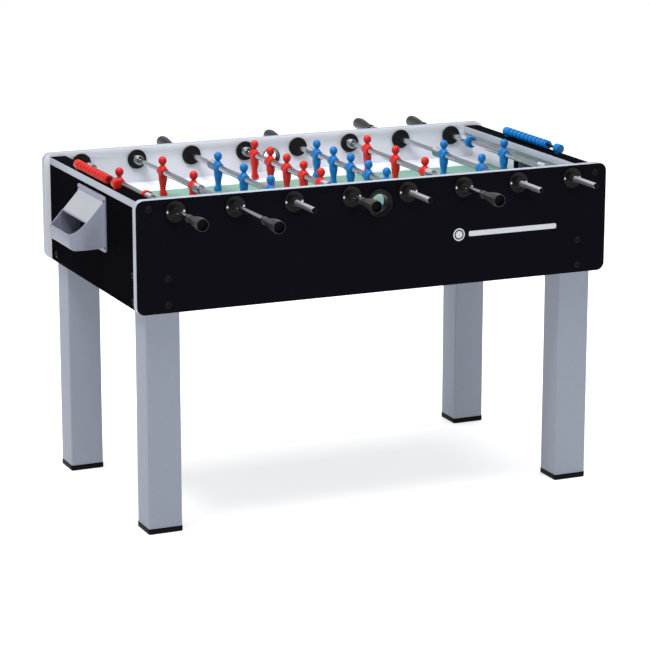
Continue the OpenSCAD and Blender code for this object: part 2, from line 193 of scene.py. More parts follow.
def loft(bm, sections, place, material=0):
    """Joins rings of points, which all have the same count, and closes both ends."""
    rings = [[bm.verts.new(place @ Vector(p)) for p in section] for section in sections]
    for a, b in zip(rings, rings[1:]):
        ring_faces(bm, a, b, material)
    for ring in (rings[0][::-1], rings[-1]):
        bm.faces.new(ring).material_index = material


def prism(bm, outline, depth, place, bevel=0.0, material=0):
    """An outline drawn out along local Z from 0 to depth, with its end edges rounded over."""
    part = bmesh.new()
    loft(part, [[(x, y, z) for x, y in outline] for z in (0, depth)], place, material)
    if bevel:
        ends = [f for f in part.faces if len(f.verts) > 4 or abs(f.normal.dot(place.col[2].xyz)) > 0.9]
        bmesh.ops.recalc_face_normals(part, faces=part.faces)
        edges = list({e for f in ends for e in f.edges})
        bmesh.ops.bevel(part, geom=edges, offset=bevel, segments=2, profile=0.5, affect="EDGES")
    merge(bm, part)


def merge(bm, part):
    """Adds a bmesh to another and frees it."""
    mesh = bpy.data.meshes.new("part")
    part.to_mesh(mesh)
    part.free()
    bm.from_mesh(mesh)
    bpy.data.meshes.remove(mesh)


def softened(node, width, least_area=50 * MM * MM, segments=2):
    """A copy of a CAD node's mesh, with the sharp edges between its larger faces rounded over."""
    bm = bmesh.new()
    bm.from_mesh(frame["nodes"][node].data)
    bmesh.ops.remove_doubles(bm, verts=bm.verts, dist=WELD)
    bmesh.ops.dissolve_limit(bm, angle_limit=math.radians(1), verts=bm.verts, edges=bm.edges)
    sharp = [e for e in bm.edges
             if len(e.link_faces) == 2 and e.calc_face_angle(0) > math.radians(35)
             and min(f.calc_area() for f in e.link_faces) > least_area]
    bmesh.ops.bevel(bm, geom=sharp, offset=width, segments=segments, profile=0.5, affect="EDGES")
    return bm


def piece(name, bm, node, materials, choose=None, smooth=35):
    """Makes an object of a bmesh. It stands for the CAD node and rides on that node's body."""
    bmesh.ops.recalc_face_normals(bm, faces=bm.faces)
    if choose:
        for face in bm.faces:
            face.material_index = choose(face)
    mesh = bpy.data.meshes.new(name)
    bm.to_mesh(mesh)
    bm.free()
    mesh.shade_smooth()
    mesh.set_sharp_from_angle(angle=math.radians(smooth))
    for m in materials:
        mesh.materials.append(m)
    obj = bpy.data.objects.new(name, mesh)
    bpy.context.scene.collection.objects.link(obj)
    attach(obj, frame["nodes"][node]["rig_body"])
    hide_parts(node)
    return obj


def modified(bm, *modifiers):
    """The bmesh after some modifiers, each (type, settings)."""
    mesh = bpy.data.meshes.new("work")
    bm.to_mesh(mesh)
    bm.free()
    obj = bpy.data.objects.new("work", mesh)
    bpy.context.scene.collection.objects.link(obj)
    for kind, settings in modifiers:
        mod = obj.modifiers.new(kind.lower(), kind)
        for key, value in settings.items():
            setattr(mod, key, value)
    depsgraph = bpy.context.evaluated_depsgraph_get()
    out = bmesh.new()
    out.from_object(obj, depsgraph)
    bpy.data.objects.remove(obj)
    bpy.data.meshes.remove(mesh)
    return out


def cut(bm, cutter):
    """The bmesh with another bmesh cut out of it."""
    mesh = bpy.data.meshes.new("cutter")
    bmesh.ops.recalc_face_normals(cutter, faces=cutter.faces)
    cutter.to_mesh(mesh)
    cutter.free()
    tool = bpy.data.objects.new("cutter", mesh)
    bpy.context.scene.collection.objects.link(tool)
    out = modified(bm, ("BOOLEAN", {"operation": "DIFFERENCE", "solver": "EXACT", "object": tool}))
    bpy.data.objects.remove(tool)
    bpy.data.meshes.remove(mesh)
    return out


# ---- materials ----

def srgb(r, g, b):
    """A linear colour from the 0 to 255 values that a screen shows."""
    def channel(v):
        v /= 255
        return v / 12.92 if v <= 0.04045 else ((v + 0.055) / 1.055) ** 2.4
    return (channel(r), channel(g), channel(b), 1)


def varied(name, color, roughness, grain, bump=0.02, shade=0.06, rough_shade=0.05,
           stretch=(1, 1, 1), **sockets):
    """A surface whose colour, gloss and height vary with noise of a grain size, in metres.

    shade and rough_shade are how far the colour and the roughness vary, and stretch draws the
    noise out along an axis, as brushing and turning do."""
    mat = bpy.data.materials.new(name)
    mat.use_nodes = True
    nodes, links = mat.node_tree.nodes, mat.node_tree.links
    shader = nodes["Principled BSDF"]
    for key, value in sockets.items():
        shader.inputs[key.replace("_", " ")].default_value = value
    place = nodes.new("ShaderNodeTexCoord")
    scale = nodes.new("ShaderNodeMapping")
    scale.inputs["Scale"].default_value = stretch
    noise = nodes.new("ShaderNodeTexNoise")
    noise.inputs["Scale"].default_value = 1 / grain
    noise.inputs["Detail"].default_value = 4
    cloud = nodes.new("ShaderNodeTexNoise")
    cloud.inputs["Scale"].default_value = 1 / (grain * 40)
    cloud.inputs["Detail"].default_value = 2
    tint = nodes.new("ShaderNodeMix")
    tint.data_type = "RGBA"
    tint.inputs["A"].default_value = [c * (1 - shade) for c in color[:3]] + [1]
    tint.inputs["B"].default_value = [min(1, c * (1 + shade)) for c in color[:3]] + [1]
    gloss = nodes.new("ShaderNodeMapRange")
    gloss.inputs["To Min"].default_value = max(0, roughness - rough_shade)
    gloss.inputs["To Max"].default_value = min(1, roughness + rough_shade)
    height = nodes.new("ShaderNodeBump")
    height.inputs["Strength"].default_value = 1
    height.inputs["Distance"].default_value = bump * MM
    links.new(place.outputs["Object"], scale.inputs["Vector"])
    links.new(scale.outputs["Vector"], noise.inputs["Vector"])
    links.new(place.outputs["Object"], cloud.inputs["Vector"])
    links.new(cloud.outputs["Fac"], tint.inputs["Factor"])
    links.new(tint.outputs["Result"], shader.inputs["Base Color"])
    links.new(noise.outputs["Fac"], gloss.inputs["Value"])
    links.new(gloss.outputs["Result"], shader.inputs["Roughness"])
    links.new(noise.outputs["Fac"], height.inputs["Height"])
    links.new(height.outputs["Normal"], shader.inputs["Normal"])
    return mat


BLACK_LAMINATE = varied("black_laminate", srgb(17, 16, 22), 0.5, 1.2 * MM, bump=0.02,
                        Specular_IOR_Level=0.001)
# The side panels' black laminate made darker for the end panels and the ledges: painted shade, not another
# board.
SHADED_BLACK_LAMINATE = varied("black_laminate_painted_shade", srgb(10, 9, 13), 0.5, 1.2 * MM, bump=0.02,
                       Specular_IOR_Level=0.0005)
WHITE_LAMINATE = varied("white_laminate", srgb(213, 213, 221), 0.4, 1.2 * MM, bump=0.02, shade=0.02)
EDGE_BAND = varied("edge_band", srgb(160, 166, 177), 0.38, 0.8 * MM, bump=0.02, shade=0.03)
FIELD_GREEN = varied("field_green", srgb(110, 150, 134), 0.5, 0.6 * MM, bump=0.02, shade=0.05)
RAMP_WHITE = varied("ramp_white", srgb(218, 222, 230), 0.35, 0.9 * MM, bump=0.01, shade=0.02)
LEG_SILVER = varied("leg_silver", srgb(147, 153, 165), 0.45, 0.35 * MM, bump=0.02, shade=0.03,
                    Specular_IOR_Level=0.15)
FOOT_BLACK = varied("foot_black", srgb(13, 12, 16), 0.5, 0.7 * MM, bump=0.03, Specular_IOR_Level=0.06)
BEARING_BLACK = varied("bearing_black", srgb(22, 21, 21), 0.3, 0.6 * MM, bump=0.02, Specular_IOR_Level=0.2)
BOLT_BLACK = varied("bolt_black", srgb(17, 17, 21), 0.3, 0.6 * MM, bump=0.02, Specular_IOR_Level=0.08)
ENTRY_BLACK = varied("entry_black", srgb(12, 12, 14), 0.2, 0.6 * MM, bump=0.01, Specular_IOR_Level=0.12)
GRIP_BLACK = varied("grip_black", srgb(40, 39, 42), 0.3, 0.5 * MM, bump=0.02, Specular_IOR_Level=0.45)
CUP_GREY = varied("cup_grey", srgb(134, 138, 154), 0.45, 0.7 * MM, bump=0.02, shade=0.03)
# The cover's top: its own grain, in a lighter grey than the shell's that is painted light from above.
CUP_SLOPE_GRAIN_AND_PAINTED_LIGHT = varied("cup_slope_grain_and_painted_light", srgb(166, 168, 174), 0.5, 1.6 * MM, bump=0.25, shade=0.05)
CHROME = varied("chrome", srgb(200, 202, 208), 0.18, 0.25 * MM, bump=0.004, shade=0.03,
                stretch=(1, 0.04, 1), Metallic=1)
SPRING_STEEL = varied("spring_steel", srgb(168, 171, 177), 0.22, 0.3 * MM, bump=0.004, shade=0.04,
                      Metallic=1)
SLEEVE_STEEL = varied("sleeve_steel", srgb(210, 210, 216), 0.42, 0.25 * MM, bump=0.006, shade=0.04,
                      stretch=(1, 0.04, 1), Metallic=1)
ZINC = varied("zinc", srgb(220, 221, 224), 0.36, 0.3 * MM, bump=0.01, shade=0.05, Metallic=1)
RED_PLASTIC = varied("red_plastic", srgb(193, 30, 23), 0.36, 0.8 * MM, bump=0.01, shade=0.04,
                     Specular_IOR_Level=0.28)
BLUE_PLASTIC = varied("blue_plastic", srgb(0, 104, 172), 0.36, 0.8 * MM, bump=0.01, shade=0.04,
                      Specular_IOR_Level=0.28)
MARK_WHITE = varied("mark_white", srgb(206, 208, 214), 0.4, 0.8 * MM, bump=0.01, shade=0.02)
TEAM = {-1: RED_PLASTIC, 1: BLUE_PLASTIC}


# ---- cabinet ----

def side_panel(node, s):
    """A laminated board: black outside, white inside, grey edge band. The near one carries a plain mark."""
    def choose(face):
        if face.material_index == 3:
            return 3
        if face.normal.y * s > 0.7:
            return 0
        return 1 if face.normal.y * s < -0.7 else 2
    bm = softened(node, 0.9 * MM)
    if s < 0:
        mark(bm)
    piece(node + "_board", bm, node, [BLACK_LAMINATE, WHITE_LAMINATE, EDGE_BAND, MARK_WHITE], choose)


def mark(bm):
    """A printed ball, drawn as a disc in a ring, and one plain bar beside it."""
    z, sunk, proud = 724 * MM, 0.2 * MM, 0.12 * MM
    face = move(0, -HALF_W + sunk, z) @ along_y(-1)
    ball = face @ move(232 * MM, 0, 0)
    lathe(bm, [(13.5 * MM, 0), (17 * MM, 0), (17 * MM, sunk + proud), (13.5 * MM, sunk + proud)], ball,
          closed=True, material=3)
    lathe(bm, [(0, 0), (10 * MM, 0), (10 * MM, sunk + proud), (0, sunk + proud)], ball, material=3)
    bar = rounded_rect(262 * MM, 14 * MM, 4 * MM)
    prism(bm, bar, sunk + proud, face @ move(392 * MM, 0, 0), material=3)


# The end panels' outer faces take the darker copy of the black laminate: painted shade.
def end_panel(node, s):
    def choose(face):
        return 1 if face.normal.x * s < -0.7 else 0
    piece(node + "_board", softened(node, 0.6 * MM), node, [SHADED_BLACK_LAMINATE, WHITE_LAMINATE], choose)


def ledges():
    """Black boards with grey bands on their long edges; the black is a darker copy of the side panels'
    laminate, as painted shade.
    """
    def choose(face):
        return 1 if abs(face.normal.x) > 0.7 else 0
    piece("ledge_boards", softened("end_ledges", 0.9 * MM), "end_ledges",
          [SHADED_BLACK_LAMINATE, EDGE_BAND], choose)


side_panel("near_side_panel", -1)
side_panel("far_side_panel", 1)
end_panel("left_end_panel", -1)
end_panel("right_end_panel", 1)
ledges()
piece("field_board", softened("playfield", 0.4 * MM), "playfield", [FIELD_GREEN])
piece("ramp_strips", softened("side_ramps", 0.15 * MM), "side_ramps", [RAMP_WHITE])
piece("bottom_board", softened("bottom_panel", 0.6 * MM), "bottom_panel", [BLACK_LAMINATE])


# ---- legs ----

def legs(node):
    """Hollow steel tubes with rounded corners."""
    lo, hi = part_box(node)
    depth, wall, corner = 84 * MM, 2 * MM, 3.5 * MM
    bm = bmesh.new()
    for y in (lo.y + depth / 2, hi.y - depth / 2):
        outer = rounded_rect(hi.x - lo.x, depth, corner)
        inner = rounded_rect(hi.x - lo.x - 2 * wall, depth - 2 * wall, corner - wall)
        place = move((lo.x + hi.x) / 2, y, 0)
        rings = [[bm.verts.new(place @ Vector((px, py, z))) for px, py in line]
                 for line, z in ((outer, lo.z), (outer, hi.z), (inner, hi.z), (inner, lo.z))]
        for a, b in zip(rings, rings[1:] + rings[:1]):
            ring_faces(bm, a, b)
    piece(node[:-1] + "_tubes", bm, node, [LEG_SILVER])


def feet():
    """Moulded caps with a rounded sole and a lip round the leg."""
    lo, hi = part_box("leg_feet")
    w, d, h = 95 * MM, 87 * MM, 15 * MM
    bm = bmesh.new()
    for x in (lo.x + w / 2, hi.x - w / 2):
        for y in (lo.y + d / 2, hi.y - d / 2):
            # Each level's growth on every side, height and corner radius (mm)
            levels = [(-2.5, 0, 4), (-0.6, 1.2, 5), (0, 3, 6), (0, h / MM - 1.2, 6), (-0.5, h / MM, 6)]
            sections = []
            for grow, z, r in levels:
                outline = rounded_rect(w + 2 * grow * MM, d + 2 * grow * MM, r * MM)
                sections.append([(px, py, z * MM) for px, py in outline])
            loft(bm, sections, move(x, y, 0))
    piece("foot_caps", bm, "leg_feet", [FOOT_BLACK])


legs("left_legs")
legs("right_legs")
feet()


# ---- bearings, screws and bolts ----

def bore_of(k, s):
    """The bearing's hole: the tube's on the handle side, the guide bar's on the other."""
    return (TUBE_R if s == handle_side(k) else BAR_R) + 0.06 * MM


def outer_bearings():
    """A dished flange with a raised rim and a hub that stands out of its middle."""
    bm = bmesh.new()
    for k in range(1, 9):
        for s in (-1, 1):
            bore = bore_of(k, s)
            flange = eased([(bore, HUB_END - HALF_W), (11.5 * MM, HUB_END - HALF_W),
                            (12 * MM, 3.2 * MM), (16.5 * MM, 3.2 * MM), (18 * MM, SCREW_SEAT),
                            (24.4 * MM, SCREW_SEAT), (25 * MM, 6 * MM), (BEARING_R, 6 * MM),
                            (BEARING_R, 0), (15 * MM, 0), (15 * MM, -SIDE_T / 2), (bore, -SIDE_T / 2)],
                           0.8 * MM, closed=True, steps=2)
            lathe(bm, flange, move(rod_x(k), s * HALF_W, ROD_Z) @ along_y(s), closed=True)
    piece("bearing_flanges", bm, "outer_bearings", [BEARING_BLACK])


def inner_bearings():
    bm = bmesh.new()
    for k in range(1, 9):
        for s in (-1, 1):
            bore = bore_of(k, s)
            ring = eased([(bore, 6 * MM), (BEARING_R, 6 * MM), (BEARING_R, 0), (15 * MM, 0),
                          (15 * MM, -SIDE_T / 2), (bore, -SIDE_T / 2)], 1.2 * MM, closed=True)
            lathe(bm, ring, move(rod_x(k), -s * WALL_Y, ROD_Z) @ along_y(-s), closed=True)
    piece("bearing_rings", bm, "inner_bearings", [BEARING_BLACK])


def screw(bm, place, slot_turn):
    """A round-headed screw down local -Z, with a slot turned to an angle."""
    head = eased([(0, 1.6 * MM), (1.6 * MM, 1.55 * MM), (3.3 * MM, 0.7 * MM), (3.3 * MM, 0),
                  (1.7 * MM, 0), (1.7 * MM, -14 * MM), (0, -14 * MM)], 0.3 * MM, steps=2)
    part = bmesh.new()
    lathe(part, head, Matrix.Identity(4), segments=24)
    slot = bmesh.new()
    bmesh.ops.create_cube(slot, size=1, matrix=Matrix.Rotation(slot_turn, 4, "Z")
                          @ move(0, 0, 1.6 * MM) @ Matrix.Diagonal((8 * MM, 0.8 * MM, 1.2 * MM, 1)))
    bmesh.ops.recalc_face_normals(part, faces=part.faces)
    part = cut(part, slot)
    bmesh.ops.transform(part, matrix=place, verts=part.verts)
    merge(bm, part)


def screws():
    bm = bmesh.new()
    turn = 0.0
    for s in (-1, 1):
        for k in range(1, 9):
            for sx in (-1, 1):
                turn += 1.1
                place = move(rod_x(k) + sx * SCREW_FROM_ROD, s * (HALF_W + SCREW_SEAT), ROD_Z)
                screw(bm, place @ along_y(s), turn)
    bright = len(bm.faces)
    for side, node in ((-1, "left_ball_cup"), (1, "right_ball_cup")):
        lo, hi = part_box(node)
        face = side * CUP_FACE
        for sy in (-1, 1):
            for z in (lo.z + 12 * MM, hi.z - 12 * MM):
                turn += 1.1
                screw(bm, move(face, sy * 103.5 * MM, z) @ along_x(side), turn)
    bm.faces.ensure_lookup_table()
    for face in bm.faces[bright:]:
        face.material_index = 1
    piece("slotted_screws", bm, "fixing_screws", [ZINC, FOOT_BLACK])


def bolts():
    """Black dome caps with a round socket, on the bolts' own shanks."""
    top_x, top_z = 638 * MM, 862 * MM
    low_x, low_z = 589 * MM, (612 * MM, 681 * MM)
    # Each place with its shank's radius and depth below the cap, in mm
    places = []
    for s in (-1, 1):
        for sx in (-1, 1):
            places += [(move(sx * low_x, s * HALF_W, z) @ along_y(s), 4, 33) for z in low_z]
            places.append((move(sx * top_x, s * HALF_W, top_z) @ along_y(s), 3, 48))
            places += [(move(s * END_OUT_X, sx * (WALL_Y + 44 * MM), z) @ along_x(s), 4, 26) for z in low_z]
    bm = bmesh.new()
    for place, shank, depth in places:
        cap = eased([(0, 0.6), (4.2, 0.6), (4.2, 2.2), (6, 3), (7.4, 2.6), (8.6, 1.2), (9.5, 0.8),
                     (9.5, 0), (shank, 0), (shank, -depth), (0, -depth)], 0.5, steps=2)
        lathe(bm, [(r * MM, h * MM) for r, h in cap], place, segments=32)
    piece("bolt_caps", bm, "cabinet_bolts", [BOLT_BLACK])


outer_bearings()
inner_bearings()
screws()
bolts()


# ---- bars, tubes and springs ----

def tube(bm, place, start, end, r, bore, material=0):
    """A tube along local Z with its end edges broken, or a solid bar if bore is 0."""
    c = 0.7 * MM
    if bore:
        outline = [(bore, start), (r - c, start), (r, start + c), (r, end - c), (r - c, end), (bore, end)]
    else:
        outline = [(0, start), (r - c, start), (r, start + c), (r, end - c), (r - c, end), (0, end)]
    lathe(bm, outline, place, closed=bool(bore), material=material)


def spring(bm, place, start, length, shaft):
    """A close-wound coil spring along local Z, whose end turns wind in towards the shaft."""
    coil_r = SPRING_R - WIRE_R
    seat_r = shaft + WIRE_R + 0.35 * MM
    turns, seat_turns, steps, sides = max(3, round(length / (5.4 * MM))), 1.25, 28, 8
    first, last = start + WIRE_R, start + length - WIRE_R
    path = []
    total = turns + 2 * seat_turns
    count = round(total * steps)
    for i in range(count + 1):
        t = i / count * total
        run = min(max((t - seat_turns) / turns, 0), 1)
        wound = min(1, t / seat_turns, (total - t) / seat_turns)
        r = seat_r + (coil_r - seat_r) * math.sin(wound * math.pi / 2)
        path.append(Vector((r * math.cos(TURN * t), r * math.sin(TURN * t), first + (last - first) * run)))
    rings = []
    for i, p in enumerate(path):
        ahead = (path[min(i + 1, count)] - path[max(i - 1, 0)]).normalized()
        side = Vector((p.x, p.y, 0)).normalized()
        up = ahead.cross(side).normalized()
        side = up.cross(ahead)
        rings.append([p + (side * math.cos(TURN * j / sides) + up * math.sin(TURN * j / sides)) * WIRE_R
                      for j in range(sides)])
    loft(bm, rings, place)


def bars():
    bar, sleeve, plug, wall = bmesh.new(), bmesh.new(), bmesh.new(), bmesh.new()
    for k in range(1, 9):
        s = -handle_side(k)
        place = move(rod_x(k), 0, ROD_Z) @ along_y(s)
        stub = HALF_W + (NEAR_STUB_L if s < 0 else FAR_STUB_L)
        tip = bar_tip(k)
        tube(bar, place, tip, stub - 10 * MM, BAR_R, 0)
        tube(sleeve, place, HUB_END, stub - 2 * MM, SLEEVE_R, BAR_R + SNUG)
        cap = eased([(0, -9 * MM), (BAR_R, -9 * MM), (BAR_R, -2 * MM), (SLEEVE_R, -2 * MM),
                     (SLEEVE_R, -0.6 * MM), (6.6 * MM, 0), (4.2 * MM, 0), (3.6 * MM, -1.2 * MM),
                     (0, -1.2 * MM)], 0.4 * MM, steps=2)
        lathe(plug, cap, place @ move(0, 0, stub), segments=32)
        if MEN_ON_ROD[k - 1] > 1:
            spring(wall, place, -WALL_Y - 6 * MM - WALL_SPRING_L, WALL_SPRING_L, BAR_R)
    piece("guide_rods", bar, "guide_bars", [CHROME])
    piece("stub_sleeves", sleeve, "bar_sleeves", [SLEEVE_STEEL])
    piece("stub_plugs", plug, "sleeve_plugs", [FOOT_BLACK])
    piece("wall_springs", wall, "wall_bumpers", [SPRING_STEEL])


def bar_tip(k):
    """How far from the table's middle the guide bar of rod k ends, along its own side."""
    mesh = frame["nodes"]["guide_bars"].data
    ys = [v.co.y for v in mesh.vertices if abs(v.co.x - rod_x(k)) < 2 * BAR_R]
    return max(ys) * -1 if handle_side(k) > 0 else min(ys)


bars()


# ---- rods ----

def ring_of(rx, ry, power, count, cx=0.0, groove=0.0):
    """A squarish ellipse in local XY. groove presses its front and back in along the middle."""
    points = []
    for i in range(count):
        a = TURN * i / count
        c, s = math.cos(a), math.sin(a)
        x = rx * math.copysign(abs(c) ** (2 / power), c)
        y = ry * math.copysign(abs(s) ** (2 / power), s)
        x *= 1 - groove * math.exp(-(y / (1.9 * MM)) ** 2)
        points.append((cx + x, y))
    return points


def man_mesh():
    """One player, facing +X with the rod's axis through the origin along Y."""
    # Height, middle, half depth, half width (mm), squareness and the groove between the legs
    body = [(-67, 1.2, 8.8, 8.8, 4, 0), (-66, 1.2, 9.8, 9.6, 4, 0), (-59, 1.1, 9.6, 9.5, 4, 0),
            (-55, 0.6, 8.4, 8.8, 3.4, 0), (-50, 0, 7, 8.1, 2.8, 0.12), (-42, -0.2, 7.4, 9.2, 2.6, 0.2),
            (-34, 0, 8.6, 11.2, 2.6, 0.22), (-28, 0.2, 9.6, 12.2, 2.5, 0.2),
            (-26, 0.2, 10.7, 13.1, 2.5, 0.06), (-19, 0, 11, 13, 2.4, 0), (-10, 0, 11.4, 13.6, 2.3, 0),
            (0, 0, 11.8, 15.2, 2.3, 0),
            (7, 0, 11.3, 15.8, 2.4, 0), (11, 0, 9.6, 14.4, 2.3, 0), (14.5, 0, 7, 10.5, 2.1, 0),
            (17, 0, 5.2, 6, 2, 0), (20, 0, 4.8, 5.2, 2, 0), (24, 0, 4.6, 5, 2, 0)]
    bm = bmesh.new()
    loft(bm, [[(x, y, z * MM) for x, y in ring_of(rx * MM, ry * MM, power, 40, cx * MM, groove)]
              for z, cx, rx, ry, power, groove in body], Matrix.Identity(4))
    head = [(0, 17)] + [(11.4 * math.sin(math.radians(a)), 29.5 - 12.5 * math.cos(math.radians(a)))
                        for a in range(15, 166, 15)] + [(0, 42)]
    lathe(bm, [(r * MM, h * MM) for r, h in head], Matrix.Diagonal((1, 0.95, 1, 1)), segments=32)
    for s in (-1, 1):
        # An arm held to the side, from the shoulder to the hip
        arm = [(12, 3.2, 13.4), (9, 4.6, 14), (0, 4.6, 13.9), (-10, 4.1, 13.4), (-19, 3.6, 12.6),
               (-25, 2.8, 11.8)]
        loft(bm, [[(x, y + s * out * MM, z * MM) for x, y in ring_of(r * 1.05 * MM, r * 0.78 * MM, 2, 20)]
                  for z, r, out in arm], Matrix.Identity(4))
    # The boss that the rod passes through, flush with the ends of the tube
    lathe(bm, [(0, -MAN_HALF), (11.2 * MM, -MAN_HALF), (11.8 * MM, -MAN_HALF + 1 * MM),
               (11.8 * MM, MAN_HALF - 1 * MM), (11.2 * MM, MAN_HALF), (0, MAN_HALF)],
          along_y(1), segments=40)
    bmesh.ops.recalc_face_normals(bm, faces=bm.faces)
    bm = modified(bm, ("REMESH", {"mode": "VOXEL", "voxel_size": 0.55 * MM}),
                  ("CORRECTIVE_SMOOTH", {"iterations": 4, "use_only_smooth": True}),
                  ("DECIMATE", {"ratio": 0.16}))
    bore, past = bmesh.new(), 30 * MM
    lathe(bore, [(0, -past), (TUBE_R + SNUG, -past), (TUBE_R + SNUG, past), (0, past)],
          along_y(1), segments=48)
    bm = cut(bm, bore)
    mesh = bpy.data.meshes.new("man")
    bm.to_mesh(mesh)
    bm.free()
    return mesh


MAN = man_mesh()


def men(k):
    """The men of a rod, spread evenly between the first and the last."""
    s = handle_side(k)
    lo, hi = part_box(f"rod_{k}_men")
    first, last, count = lo.y + MAN_HALF, hi.y - MAN_HALF, MEN_ON_ROD[k - 1]
    bm = bmesh.new()
    for i in range(count):
        y = first + (last - first) * i / max(1, count - 1)
        part = bmesh.new()
        part.from_mesh(MAN)
        turn = Matrix.Rotation(0 if s < 0 else math.pi, 4, "Z")
        bmesh.ops.transform(part, matrix=move(rod_x(k), y, ROD_Z) @ turn, verts=part.verts)
        merge(bm, part)
    piece(f"rod_{k}_players", bm, f"rod_{k}_men", [TEAM[s]], smooth=50)


def handle(k):
    """A washer, a collar and a waist that flares into an eight-sided grip with a hollow end. The washer and
    the hollow end are painted near-black, darker than the grip: painted shade of the gap by the tube and of
    the hollow.
    """
    s = handle_side(k)
    lo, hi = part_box(f"rod_{k}_handle")
    start = lo.y if s > 0 else hi.y
    place = move(rod_x(k), start, ROD_Z) @ along_y(s)
    bore = TUBE_R + SNUG
    # Distance along the grip, radius (mm) and how far the section is eight-sided
    outside = [(0, 8.8, 0), (0.5, 9.4, 0), (5.4, 9.4, 0), (5.8, 8.6, 0), (6.4, 9.2, 0), (7.4, 10.3, 0),
               (13, 10.3, 0), (14.6, 9.3, 0), (18, 8.9, 0), (21, 9.1, 0.4), (27, 10.1, 1), (40, 12.2, 1),
               (56, 14.5, 1), (70, 16.2, 1), (82, 17, 1), (90, 17, 1), (95, 16.7, 0.6), (98.4, 16.4, 0.2),
               (99.6, 16, 0), (100, 15.4, 0), (99.6, 14.8, 0), (96, 14, 0), (92, 12.8, 0), (90, 10.5, 0)]
    count = 64
    rings = []
    for z, r, facets in outside:
        ring = []
        for i in range(count):
            a = TURN * i / count
            off = (a + TURN / 16) % (TURN / 8) - TURN / 16
            flat = math.cos(TURN / 16) / math.cos(off)
            # The corners of the eight-sided part are rounded, so it never quite reaches them
            here = r * min(1 + facets * (flat * 1.015 - 1), 1.0) * MM
            ring.append((here * math.cos(a), here * math.sin(a), z * MM))
        rings.append(ring)
    inside = [(74, bore), (1, bore), (0, bore + 0.4 * MM)]
    bm = bmesh.new()
    outer = [[bm.verts.new(place @ Vector(p)) for p in ring] for ring in rings]
    inner = [[bm.verts.new(place @ Vector((r * math.cos(TURN * i / count), r * math.sin(TURN * i / count),
                                           z * MM)))
              for i in range(count)] for z, r in inside]
    for i, (a, b) in enumerate(zip(outer, outer[1:])):
        # Faces of the washer and of the hollow end take the feet's black: painted shade.
        ring_faces(bm, a, b, 1 if outside[i][0] < 5.8 or i > len(outside) - 5 else 0)
    ring_faces(bm, inner[-1], outer[0], 1)
    for a, b in zip(inner, inner[1:]):
        ring_faces(bm, a, b)
    bm.faces.new(inner[0])
    hub = [bm.verts.new(place @ Vector((0, 0, 90 * MM)))]
    ring_faces(bm, outer[-1], hub, 1)
    piece(f"rod_{k}_grip", bm, f"rod_{k}_handle", [GRIP_BLACK, FOOT_BLACK], smooth=22)


def rod(k):
    s = handle_side(k)
    place = move(rod_x(k), 0, ROD_Z) @ along_y(s)
    lo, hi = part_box(f"rod_{k}_tube")
    start, end = (lo.y, hi.y) if s > 0 else (-hi.y, -lo.y)
    bm = bmesh.new()
    tube(bm, place, start, end, TUBE_R, TUBE_BORE)
    piece(f"rod_{k}_shaft", bm, f"rod_{k}_tube", [CHROME])
    men(k)
    handle(k)
    lo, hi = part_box(f"rod_{k}_bumpers")
    near_end, far_end = (lo.y, hi.y) if s > 0 else (-hi.y, -lo.y)
    bm = bmesh.new()
    spring(bm, place, far_end - SPRING_L, SPRING_L, TUBE_R)
    if far_end - near_end > 2 * SPRING_L:
        spring(bm, place, near_end, SPRING_L, TUBE_R)
    piece(f"rod_{k}_springs", bm, f"rod_{k}_bumpers", [SPRING_STEEL])
    if k in (1, 8):
        lo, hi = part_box(f"rod_{k}_stop_ring")
        start, end = (lo.y, hi.y) if s > 0 else (-hi.y, -lo.y)
        bm = bmesh.new()
        ring = eased([(TUBE_R + SNUG, start), (16.5 * MM, start), (16.5 * MM, end),
                      (TUBE_R + SNUG, end)], 1.2 * MM, closed=True)
        lathe(bm, ring, place, closed=True)
        piece(f"rod_{k}_collar", bm, f"rod_{k}_stop_ring", [TEAM[s]])


for k in range(1, 9):
    rod(k)


# ---- ball entries, cups and score counters ----

def entries():
    """Two flanged halves in each side panel, with a funnel outside."""
    bm = bmesh.new()
    z = middle("ball_entries").z
    for s in (-1, 1):
        half = SIDE_T / 2 / MM
        funnel = [(23.6, 0), (23.6, half + 0.5), (29.8, half + 4.2), (31.4, half + 5), (35.6, half + 5),
                  (37, half + 3.6), (37, half), (25.3, half), (25.3, 0)]
        ring = [(23.6, 0.1), (23.6, half + 0.9), (24.3, half + 1.5), (25.8, half + 1.5), (26.5, half + 0.8),
                (26.5, half), (25.3, half), (25.3, 0.1)]
        place = move(0, s * (HALF_W - SIDE_T / 2), z)
        lathe(bm, [(r * MM, h * MM) for r, h in funnel], place @ along_y(s), segments=64, closed=True)
        lathe(bm, [(r * MM, h * MM) for r, h in ring], place @ along_y(-s), segments=64, closed=True)
    piece("entry_funnels", bm, "ball_entries", [ENTRY_BLACK])


